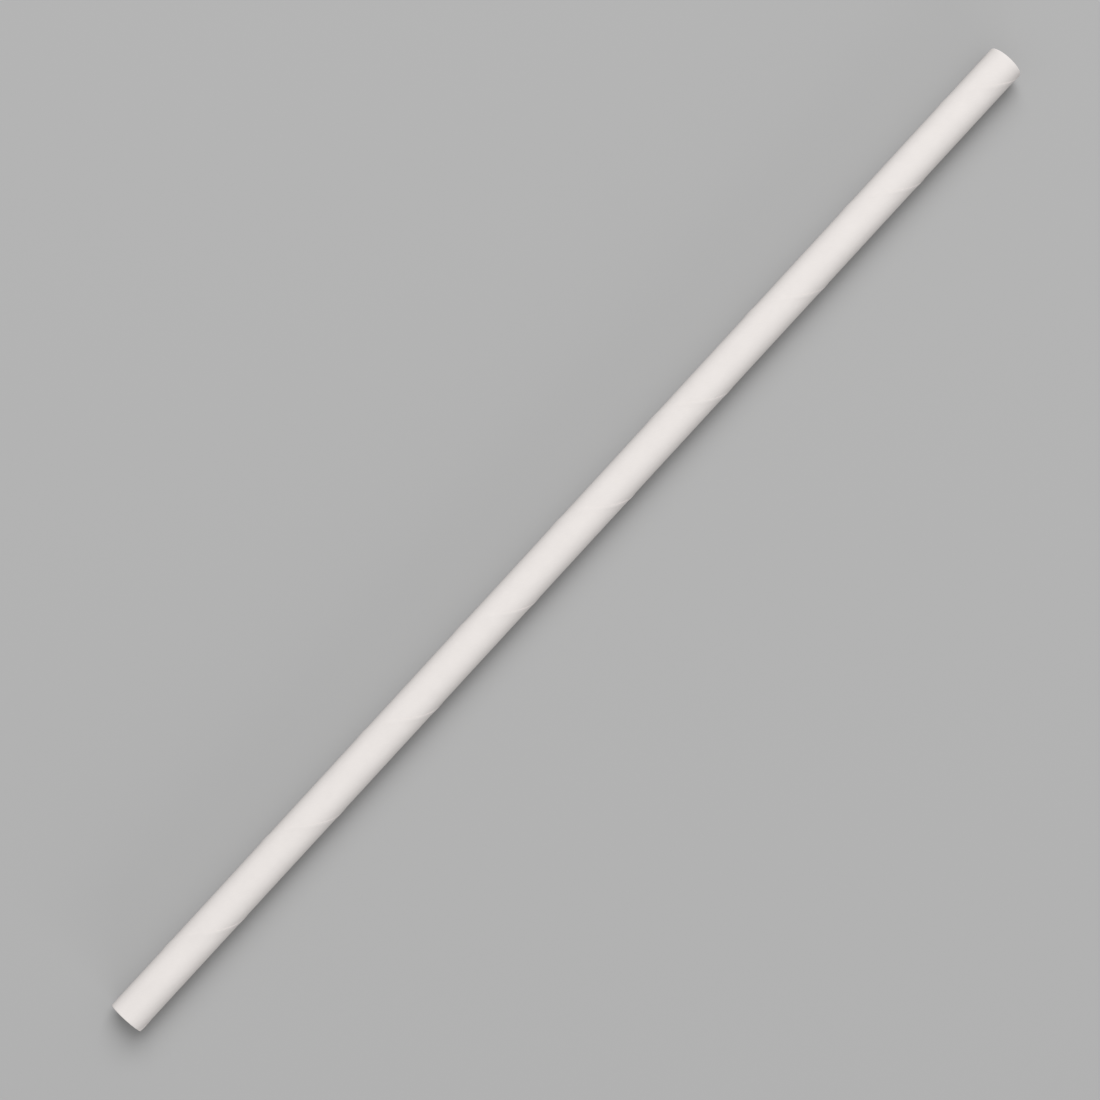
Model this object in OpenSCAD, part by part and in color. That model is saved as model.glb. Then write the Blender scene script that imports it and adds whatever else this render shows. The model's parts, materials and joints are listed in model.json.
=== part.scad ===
// Spiral-wound paper drinking straw, lying along X on Z = 0, with the middle of its length over the origin.
// Three strips of paper are wound on one another and glued, so the finished straw is one piece.
// The outer strip laps over its own edge, which leaves a low helical step along the whole straw.

/* [Straw] */
// Length from cut end to cut end
straw_len = 200; // [120:1:260]
// Outside diameter of the body, clear of the lap
straw_d = 6; // [5:0.1:12]

/* [Paper] */
// Thickness of the outer strip, which is also how far the lap stands proud
outer_ply = 0.08; // [0.05:0.01:0.12]
// Thickness of the two inner strips together
inner_plies = 0.32; // [0.2:0.02:0.6]

/* [Winding] */
// Distance along the straw in which the strip goes once round
lead = 22; // [18:0.5:40]
// Width of the lap, square to the seam
lap_w = 0.4; // [0.2:0.05:1.5]
// Width of the slope by which the strip comes down from the lap, square to the seam
slope_w = 0.5; // [0.3:0.05:1.2]
// Angle of the seam's exposed edge from the top of the straw at its -X end, right-handed about X
seam_start = 58; // [0:1:359]

/* [Hidden] */
$fn = 96;

paper_white = [0.92, 0.90, 0.89];

body_r = straw_d / 2;
bore_r = body_r - outer_ply - inner_plies;
crest_r = body_r + outer_ply;
// The lap is rooted in the middle of the wall
root_r = (body_r + bore_r) / 2;
// The cutters of the bore and of the ends run past the straw by one turn of the seam
past_end = lead;

// Angle between the seam and the straw's axis
helix = atan(PI * straw_d / lead);
// A width square to the seam, measured along the straw
function along(w) = w / sin(helix);

// Section of the lap through the straw's axis, as [radius, distance along the straw from the exposed edge].
// The slope runs on a little below the body's surface, so that the two cross cleanly
slope_on = 1.25;
foot = -along(lap_w + slope_on * slope_w);
section = [
    [root_r, 0],
    [crest_r, 0],
    [crest_r, -along(lap_w)],
    [crest_r - slope_on * outer_ply, foot],
    [root_r, foot]
];
corners = len(section);

// The section is set out once in each of these steps about the axis, counted from the top of the straw
steps_per_turn = 48;
step_a = 360 / steps_per_turn;
// The lap runs from the last step at which its edge is short of the first end to the first step at which
// its foot is past the second end
first = floor(seam_start / step_a);
last = ceil((seam_start + (straw_len - foot) / lead * 360) / step_a);

// Point p of the section at step k, where the edge is at Z = 0 when it crosses seam_start
function swept(p, k) =
    [p[0] * cos(k * step_a), p[0] * sin(k * step_a), p[1] + (k * step_a - seam_start) / 360 * lead];

// The section swept right-handed round the tube, with a ring of points at each step
module lap() {
    points = [for (k = [first : last], p = section) swept(p, k)];
    sides = [
        for (ring = [0 : last - first - 1], i = [0 : corners - 1])
            let (a = ring * corners + i, b = ring * corners + (i + 1) % corners)
                each [[a, b + corners, b], [a, a + corners, b + corners]]
    ];
    end = (last - first) * corners;
    caps = [
        for (i = [1 : corners - 2])
            each [[0, i, i + 1], [end, end + i + 1, end + i]]
    ];
    polyhedron(points = points, faces = concat(sides, caps));
}

// The wound tube, standing on Z = 0 with its top side towards +X, bored through and cut square at both ends
module tube() {
    difference() {
        union() {
            cylinder(h = straw_len, r = body_r);
            lap();
        }
        translate([0, 0, -past_end])
            cylinder(h = straw_len + 2 * past_end, r = bore_r);
        for (z = [-past_end, straw_len])
            translate([0, 0, z])
                cylinder(h = past_end, r = 2 * crest_r);
    }
}

// Laid down by a quarter turn about Y, with the top side up
module straw() {
    color(paper_white)
    translate([-straw_len / 2, 0, crest_r])
    rotate([0, 90, 0])
    rotate([0, 0, 180])
        tube();
}

straw();
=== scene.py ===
"""Looks for a spiral-wound paper drinking straw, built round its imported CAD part."""

import json
import math

import bpy
import numpy as np
from mathutils import Matrix, Vector


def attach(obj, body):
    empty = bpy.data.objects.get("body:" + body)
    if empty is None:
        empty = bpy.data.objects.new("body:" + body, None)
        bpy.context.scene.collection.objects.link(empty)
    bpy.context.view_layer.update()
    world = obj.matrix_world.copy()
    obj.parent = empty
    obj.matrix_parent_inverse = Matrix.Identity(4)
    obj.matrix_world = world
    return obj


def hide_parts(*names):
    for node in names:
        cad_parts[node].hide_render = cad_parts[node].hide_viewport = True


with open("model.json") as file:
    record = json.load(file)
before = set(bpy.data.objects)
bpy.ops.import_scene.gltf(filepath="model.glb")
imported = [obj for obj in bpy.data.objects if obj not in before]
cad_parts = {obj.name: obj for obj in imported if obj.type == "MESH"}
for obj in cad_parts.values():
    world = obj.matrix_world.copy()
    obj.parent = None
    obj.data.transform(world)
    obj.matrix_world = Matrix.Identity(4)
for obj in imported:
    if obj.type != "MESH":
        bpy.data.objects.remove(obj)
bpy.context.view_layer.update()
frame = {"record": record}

MM = 0.001
TURN = 360.0

# The straw's sizes in millimetres: the bore as the record has it, and the paper as the CAD part has it
BORE = next(mount for mount in frame["record"]["mounts"] if mount["name"] == "bore")
STRAW_LEN = BORE["dims"]["length_mm"]
BORE_R = BORE["dims"]["r_mm"]
AXIS_Z = BORE["pos_m"][2] / MM
OUTER_PLY = 0.08
BODY_R = AXIS_Z - OUTER_PLY
INNER_PLIES = BODY_R - OUTER_PLY - BORE_R

# The winding: the lead, the seam's place at the -X end in degrees from the top, its angle to the axis,
# and the width of the strip
LEAD = 22.0
SEAM_START = 58.0
HELIX = math.atan(2 * math.pi * BODY_R / LEAD)
STRIP_W = LEAD * math.sin(HELIX)

# The lap, as [millimetres from its exposed edge square to the seam, share of the outer ply's thickness].
# Winding presses it down by a third, glue draws its edge down a little more, and past the crest it
# falls most of the way within half a millimetre
LAP = [
    [0.000, 0.595], [0.060, 0.62], [0.140, 0.635], [0.240, 0.64], [0.330, 0.63], [0.400, 0.60],
    [0.460, 0.55], [0.520, 0.48], [0.580, 0.405], [0.640, 0.335], [0.700, 0.27], [0.770, 0.215],
    [0.850, 0.17], [0.950, 0.13], [1.080, 0.09], [1.250, 0.05], [1.470, 0.02], [1.750, 0.00]
]
# Here and there along the straw it is pressed down by up to this share more, in a sum of slow waves
LAP_WANDER = 0.06
# Millimetres for one radian of the first wave, by how much more frequent and weaker each next one is,
# and the phase of each
WAVE_RADIAN = 9.0
WAVE_RISE = 0.73
WAVE_FADE = 0.5
WAVE_PHASES = (1.368, 5.729, 5.895, 1.917)

# Steps of the mesh in millimetres: across the strip past the lap, and along the outside and the bore
BODY_STEP = 0.125
OUTSIDE_STEP = 0.5
BORE_STEP = 1.0

# Both cut ends lean towards +X at the top, by this much for each millimetre of height
CUT_LEAN = 0.06
# Rounding of their two corners in millimetres, and where its middle point lies, as a share of it
CORNER = 0.045
CORNER_MIDDLE = 0.3
# Width and depth in millimetres of the fine lines between the plies, seen on the cuts
PLY_LINE_W = 0.030
PLY_LINE_DEPTH = 0.030
# The points go from the outside's angles to the bore's over the cut, by these shares at the two lines and
# at the bore's corner
OUTER_LINE_TURN = 0.2
INNER_LINE_TURN = 0.6
BORE_CORNER_TURN = 0.9

# The inner strip's edges meet with a small gap, which shows as a groove in the bore: its place from the
# exposed edge and half its width in degrees, and its depth in millimetres
GROOVE_AT = 200.0
GROOVE_HALF_W = 4.5
GROOVE_DEPTH = 0.055

# The camera as fitted to the photograph: its place and what it looks at in millimetres, its roll in
# radians, its focal length in pixels, and the direction of the photograph's right
CAMERA_AT = (-15.095, 36.099, 482.20)
CAMERA_AIM = (-3.225, 0.529, 0.0)
CAMERA_ROLL = 0.0002
FOCAL_PX = 3123.2
PHOTO_RIGHT = (0.67691, -0.73606, 0.0)
IMAGE_PX = 1100
SENSOR_MM = 36.0
# What the camera sees begins and ends at these distances, in metres
CLIP = (0.01, 20.0)

# Colour of the paper and its plain shader values
PAPER = (0.827, 0.785, 0.762)
PAPER_ROUGHNESS = 0.88
PAPER_SPECULAR = 0.25
# Its tone goes from the first to the second of these shares of that colour, as the texture's value goes
# over the range
TONES = (0.965, 1.02)
TONE_RANGE = (0.30, 0.70)
# Texture scales: clouds and grain for each metre, fibres for each millimetre along and across the strip
CLOUD_SCALE = 420.0
GRAIN_SCALE = 5200.0
FIBRE_SCALES = (("X", "strip_along", 0.9), ("Y", "strip_across", 7.0))
# Share of the fibres in the tone, the rest being clouds
FIBRE_SHARE = 0.55
# Height of the fuzzy bump in metres, and its strength
BUMP_HEIGHT = 0.00002
BUMP_STRENGTH = 0.35

# Grey of the floor and the background as they are shown, and of the floor as it throws light back
FLOOR_SEEN = 0.45
FLOOR_BOUNCE = 0.12
FLOOR_ROUGHNESS = 0.9
# Half the floor's side, and where it begins and ends to pass into the plain background, in metres
FLOOR_HALF = 5.0
FLOOR_PLAIN = (0.35, 1.1)
# Grey of the light that comes from all round
WORLD_LIGHT = 0.38
# Power in watts, sides and distance in metres, height in degrees, and direction across the floor
LAMPS = {
    "softbox": dict(power=74.0, sides=(2.2, 2.2), distance=3.0, height=54.0, toward=(0.77, 0.64)),
    "fill": dict(power=22.5, sides=(2.8, 0.9), distance=3.0, height=13.0, toward=(-0.45, -0.89)),
}

# A Mix node's two inputs and its result by number for each type of data, because their names repeat
MIX_SOCKETS = {"FLOAT": (2, 3, 0), "RGBA": (6, 7, 2)}


def seam_angle(x):
    """Angle of the exposed edge from the top, in degrees, at x millimetres from the -X end."""
    return SEAM_START + x / LEAD * TURN


def wander(x):
    """The lap's slow wander, between about -1 and 1, at x millimetres from the -X end."""
    total = 0.0
    for k, phase in enumerate(WAVE_PHASES):
        total += math.sin(x / WAVE_RADIAN * (1 + WAVE_RISE * k) + phase) / (1 + WAVE_FADE * k)
    return total / 2


def outer_profile():
    """Angles from the exposed edge and heights over the body, once round, in degrees and millimetres."""
    across, shares = zip(*LAP)
    steps = math.ceil((STRIP_W - across[-1]) / BODY_STEP)
    body = np.linspace(across[-1], STRIP_W, steps + 1)[1:]
    angles = np.concatenate([across, body]) / STRIP_W * TURN
    heights = np.concatenate([OUTER_PLY * np.array(shares), np.zeros(steps)])
    return angles, heights


OUT_ANGLES, OUT_HEIGHTS = outer_profile()
AROUND = len(OUT_ANGLES)
# The bore's points are spread evenly, half a step on from the edge, so that no two of them coincide
IN_ANGLES = (np.arange(AROUND) + 0.5) / AROUND * TURN


def bore_radii():
    """Radius of the bore round its circumference, with the groove of the inner strip."""
    off = np.abs(IN_ANGLES - GROOVE_AT)
    return BORE_R + GROOVE_DEPTH * np.clip(1 - off / GROOVE_HALF_W, 0, 1)


def outside_radii(x):
    """Radius of the outside round its circumference at x millimetres from the -X end."""
    pressed = min(1 + LAP_WANDER * wander(x), 1.0)
    return BODY_R + OUT_HEIGHTS * pressed


def ring(x, angles, radii, lean):
    """Points in metres at x millimetres from the -X end. The angles count from the exposed edge there."""
    turned = np.radians(seam_angle(x) + angles)
    up = radii * np.cos(turned)
    return MM * np.column_stack([x - STRAW_LEN / 2 + lean * up, -radii * np.sin(turned), AXIS_Z + up])


def end_rings(x, inward):
    """Rings over a cut end, from the outside to the bore. inward is 1 at the -X end and -1 at the other."""
    outside = outside_radii(x)
    bore = bore_radii()
    middle = CORNER_MIDDLE * CORNER
    under_outer = outside - OUTER_PLY
    between_inner = np.full(AROUND, BORE_R + INNER_PLIES / 2)
    # Each row: how far in from the cut, radii, share of the way from the outside's angles to the bore's
    rows = [(CORNER, outside, 0.0), (middle, outside - middle, 0.0), (0.0, outside - CORNER, 0.0)]
    for line, share in ((under_outer, OUTER_LINE_TURN), (between_inner, INNER_LINE_TURN)):
        rows += [
            (0.0, line + PLY_LINE_W / 2, share),
            (PLY_LINE_DEPTH, line, share),
            (0.0, line - PLY_LINE_W / 2, share),
        ]
    rows += [(0.0, bore + CORNER, BORE_CORNER_TURN), (middle, bore + middle, 1.0), (CORNER, bore, 1.0)]
    made = []
    for inset, radii, share in rows:
        at = x + inward * inset
        # The rings of one end keep the phase that the seam has at its cut, so that its face isn't twisted
        phase = seam_angle(x) - seam_angle(at)
        angles = OUT_ANGLES * (1 - share) + IN_ANGLES * share + phase
        made.append((at, angles, radii, CUT_LEAN))
    return made


def straw_rings():
    """What ring takes for every ring in order: outside, +X end, bore, -X end, and so round to the start."""
    margin = CORNER + OUTSIDE_STEP / 2
    outside_at = np.linspace(margin, STRAW_LEN - margin, int(STRAW_LEN / OUTSIDE_STEP))
    bore_at = np.linspace(STRAW_LEN - BORE_STEP, BORE_STEP, int(STRAW_LEN / BORE_STEP))
    outside = [(x, OUT_ANGLES, outside_radii(x), 0.0) for x in outside_at]
    bore = [(x, IN_ANGLES, bore_radii(), 0.0) for x in bore_at]
    return outside + end_rings(STRAW_LEN, -1) + bore + end_rings(0.0, 1)[::-1]


def lattice(count):
    """The faces between each ring and the next, and between the last and the first."""
    i = np.repeat(np.arange(count), AROUND)
    j = np.tile(np.arange(AROUND), count)
    here = i * AROUND
    beyond = (i + 1) % count * AROUND
    j_next = (j + 1) % AROUND
    return np.column_stack([here + j, here + j_next, beyond + j_next, beyond + j])


def strip_places(rings):
    """Each point's place on the wound strip: along and across it in millimetres, and depth in the wall."""
    return {
        "strip_across": [angles / TURN * STRIP_W for x, angles, radii, lean in rings],
        "strip_along": [
            x / math.cos(HELIX) + angles / TURN * LEAD * math.cos(HELIX) for x, angles, radii, lean in rings
        ],
        "wall_depth": [(radii - BORE_R) / (BODY_R - BORE_R) for x, angles, radii, lean in rings],
    }


def straw_mesh():
    """The closed mesh of the straw, with each point's place on the wound strip as attributes."""
    rings = straw_rings()
    points = np.vstack([ring(*values) for values in rings])
    mesh = bpy.data.meshes.new("wound_paper")
    mesh.from_pydata(points.tolist(), [], lattice(len(rings)).tolist())
    mesh.update()
    for name, values in strip_places(rings).items():
        attribute = mesh.attributes.new(name, "FLOAT", "POINT")
        attribute.data.foreach_set("value", np.concatenate(values).astype(np.float32))
    mesh.shade_smooth()
    mark_sharp(mesh)
    return mesh


def mark_sharp(mesh):
    """Keeps the two corners of the strip's exposed edge crisp."""
    ends = np.zeros(2 * len(mesh.edges), np.int32)
    mesh.edges.foreach_get("vertices", ends)
    ends = ends.reshape(-1, 2) % AROUND
    sharp = (ends[:, 0] == ends[:, 1]) & np.isin(ends[:, 0], (0, AROUND - 1))
    attribute = mesh.attributes.get("sharp_edge") or mesh.attributes.new("sharp_edge", "BOOLEAN", "EDGE")
    attribute.data.foreach_set("value", sharp)


def feed(tree, target, source):
    """Links an output to an input, or gives the input a plain value."""
    if isinstance(source, bpy.types.NodeSocket):
        tree.links.new(source, target)
    else:
        target.default_value = source


def node(tree, kind, **values):
    """A shader node with its settings, and its inputs by name with underscores for spaces."""
    made = tree.nodes.new(kind)
    for name, value in values.items():
        if hasattr(made, name):
            setattr(made, name, value)
        else:
            feed(tree, made.inputs[name.replace("_", " ")], value)
    return made


def maths(tree, operation, first, second):
    """The result of one operation on two values, each a number or an output."""
    made = node(tree, "ShaderNodeMath", operation=operation)
    feed(tree, made.inputs[0], first)
    feed(tree, made.inputs[1], second)
    return made.outputs[0]


def mix(tree, data_type, share, first, second):
    """The first value passing into the second as share goes from 0 to 1."""
    made = node(tree, "ShaderNodeMix", data_type=data_type)
    first_at, second_at, result_at = MIX_SOCKETS[data_type]
    feed(tree, made.inputs[0], share)
    feed(tree, made.inputs[first_at], first)
    feed(tree, made.inputs[second_at], second)
    return made.outputs[result_at]


def grey(level):
    """A grey of one level, as a shader's colour."""
    return (level, level, level, 1)


def new_material(name, roughness, specular):
    """A material with its plain shader, and the tree and shader to build on."""
    material = bpy.data.materials.new(name)
    material.use_nodes = True
    shader = material.node_tree.nodes["Principled BSDF"]
    shader.inputs["Roughness"].default_value = roughness
    shader.inputs["Specular IOR Level"].default_value = specular
    return material, material.node_tree, shader


def fibre_texture(tree):
    """Noise drawn out along the wound strip, from each point's place on it."""
    places = {}
    for socket, name, scale in FIBRE_SCALES:
        place = node(tree, "ShaderNodeAttribute", attribute_name=name)
        places[socket] = maths(tree, "MULTIPLY", place.outputs["Fac"], scale)
    depth = node(tree, "ShaderNodeAttribute", attribute_name="wall_depth")
    strip = node(tree, "ShaderNodeCombineXYZ", Z=depth.outputs["Fac"], **places)
    fibres = node(
        tree, "ShaderNodeTexNoise", Vector=strip.outputs["Vector"], Scale=1.0, Detail=4.0, Roughness=0.65
    )
    return fibres.outputs["Fac"]


def paper_material():
    """Matt white paper: faint cloudiness, fibres along the strip, and a fuzzy bump."""
    material, tree, shader = new_material("wound_white_paper", PAPER_ROUGHNESS, PAPER_SPECULAR)
    place = node(tree, "ShaderNodeTexCoord").outputs["Object"]
    clouds = node(tree, "ShaderNodeTexNoise", Vector=place, Scale=CLOUD_SCALE, Detail=3.0, Roughness=0.55)
    grain = node(tree, "ShaderNodeTexNoise", Vector=place, Scale=GRAIN_SCALE, Detail=2.0, Roughness=0.5)
    fibres = fibre_texture(tree)

    both = mix(tree, "FLOAT", FIBRE_SHARE, clouds.outputs["Fac"], fibres)
    tone = node(tree, "ShaderNodeValToRGB", Fac=both)
    for stop, position, share in zip(tone.color_ramp.elements, TONE_RANGE, TONES):
        stop.position = position
        stop.color = (*(channel * share for channel in PAPER), 1)
    feed(tree, shader.inputs["Base Color"], tone.outputs["Color"])

    relief = maths(tree, "ADD", grain.outputs["Fac"], fibres)
    bump = node(tree, "ShaderNodeBump", Height=relief, Strength=BUMP_STRENGTH, Distance=BUMP_HEIGHT)
    feed(tree, shader.inputs["Normal"], bump.outputs["Normal"])
    return material


def add_straw():
    """The straw's own piece, which stands for its CAD solid."""
    straw = bpy.data.objects.new("wound_paper_tube", straw_mesh())
    bpy.context.scene.collection.objects.link(straw)
    straw.data.materials.append(paper_material())
    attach(straw, "root")
    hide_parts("straw")


def shown_background(tree):
    """1 for rays that show the background to the camera, in a mirror or through glass, and 0 for others."""
    path = node(tree, "ShaderNodeLightPath")
    seen = maths(tree, "MAXIMUM", path.outputs["Is Camera Ray"], path.outputs["Is Glossy Ray"])
    return maths(tree, "MAXIMUM", seen, path.outputs["Is Transmission Ray"])


def shown_or_lit(tree, shown, lit):
    """The grey of shown for rays that show the background, and the grey of lit for others."""
    return mix(tree, "RGBA", shown_background(tree), grey(lit), grey(shown))


def far_and_shown(tree):
    """Rises from 0 to 1 away from the straw over FLOOR_PLAIN, and is 0 for rays that light the straw."""
    place = node(tree, "ShaderNodeTexCoord").outputs["Object"]
    away = node(tree, "ShaderNodeVectorMath", operation="LENGTH", Vector=place)
    near, far = FLOOR_PLAIN
    rise = node(
        tree, "ShaderNodeMapRange", interpolation_type="SMOOTHSTEP",
        Value=away.outputs["Value"], From_Min=near, From_Max=far
    )
    return maths(tree, "MULTIPLY", rise.outputs["Result"], shown_background(tree))


def floor_material():
    """Plain pale floor. It throws back as little light as the dark table of the photograph, and well away
    from the straw it is shown as plain as the background, so that no horizon is seen."""
    material, tree, shader = new_material("plain_floor", FLOOR_ROUGHNESS, 0.0)
    feed(tree, shader.inputs["Base Color"], shown_or_lit(tree, FLOOR_SEEN, FLOOR_BOUNCE))
    plain = node(tree, "ShaderNodeEmission", Color=grey(FLOOR_SEEN))
    surface = node(tree, "ShaderNodeMixShader", Fac=far_and_shown(tree))
    feed(tree, surface.inputs[1], shader.outputs["BSDF"])
    feed(tree, surface.inputs[2], plain.outputs["Emission"])
    feed(tree, tree.nodes["Material Output"].inputs["Surface"], surface.outputs["Shader"])
    return material


def add_floor():
    """A wide floor at the height that the straw lies on."""
    mesh = bpy.data.meshes.new("floor")
    corners = [(FLOOR_HALF * x, FLOOR_HALF * y, 0) for x, y in ((-1, -1), (1, -1), (1, 1), (-1, 1))]
    mesh.from_pydata(corners, [], [(0, 1, 2, 3)])
    mesh.materials.append(floor_material())
    floor = bpy.data.objects.new("floor", mesh)
    bpy.context.scene.collection.objects.link(floor)


def add_world():
    """Even soft light from all round, with a plain pale background."""
    world = bpy.data.worlds.new("studio")
    bpy.context.scene.world = world
    world.use_nodes = True
    tree = world.node_tree
    feed(tree, tree.nodes["Background"].inputs["Color"], shown_or_lit(tree, FLOOR_SEEN, WORLD_LIGHT))


def add_lamp(name, power, sides, distance, height, toward):
    """A soft rectangular lamp that faces the straw's middle."""
    rise = math.radians(height)
    away = Vector((*toward, 0)).normalized() * math.cos(rise)
    away.z = math.sin(rise)
    lamp = bpy.data.lights.new(name, "AREA")
    lamp.shape = "RECTANGLE"
    lamp.size, lamp.size_y = sides
    lamp.energy = power
    made = bpy.data.objects.new(name, lamp)
    bpy.context.scene.collection.objects.link(made)
    made.location = away * distance
    made.rotation_mode = "QUATERNION"
    made.rotation_quaternion = away.to_track_quat("Z", "Y")


def add_camera():
    """The camera at the photograph's place, without shift."""
    at = Vector(CAMERA_AT) * MM
    forward = (Vector(CAMERA_AIM) * MM - at).normalized()
    right = Vector(PHOTO_RIGHT)
    right = (right - forward * right.dot(forward)).normalized()
    down = forward.cross(right)
    right, down = (
        right * math.cos(CAMERA_ROLL) + down * math.sin(CAMERA_ROLL),
        down * math.cos(CAMERA_ROLL) - right * math.sin(CAMERA_ROLL),
    )
    data = bpy.data.cameras.new("photo_camera")
    data.sensor_width = SENSOR_MM
    data.lens = FOCAL_PX / IMAGE_PX * SENSOR_MM
    data.clip_start, data.clip_end = CLIP
    camera = bpy.data.objects.new("photo_camera", data)
    bpy.context.scene.collection.objects.link(camera)
    turn = Matrix((right, -down, -forward)).transposed().to_4x4()
    camera.matrix_world = Matrix.Translation(at) @ turn
    bpy.context.scene.camera = camera


add_straw()
add_floor()
add_world()
for name, lamp in LAMPS.items():
    add_lamp(name, **lamp)
add_camera()
bpy.context.scene.view_settings.view_transform = "Standard"
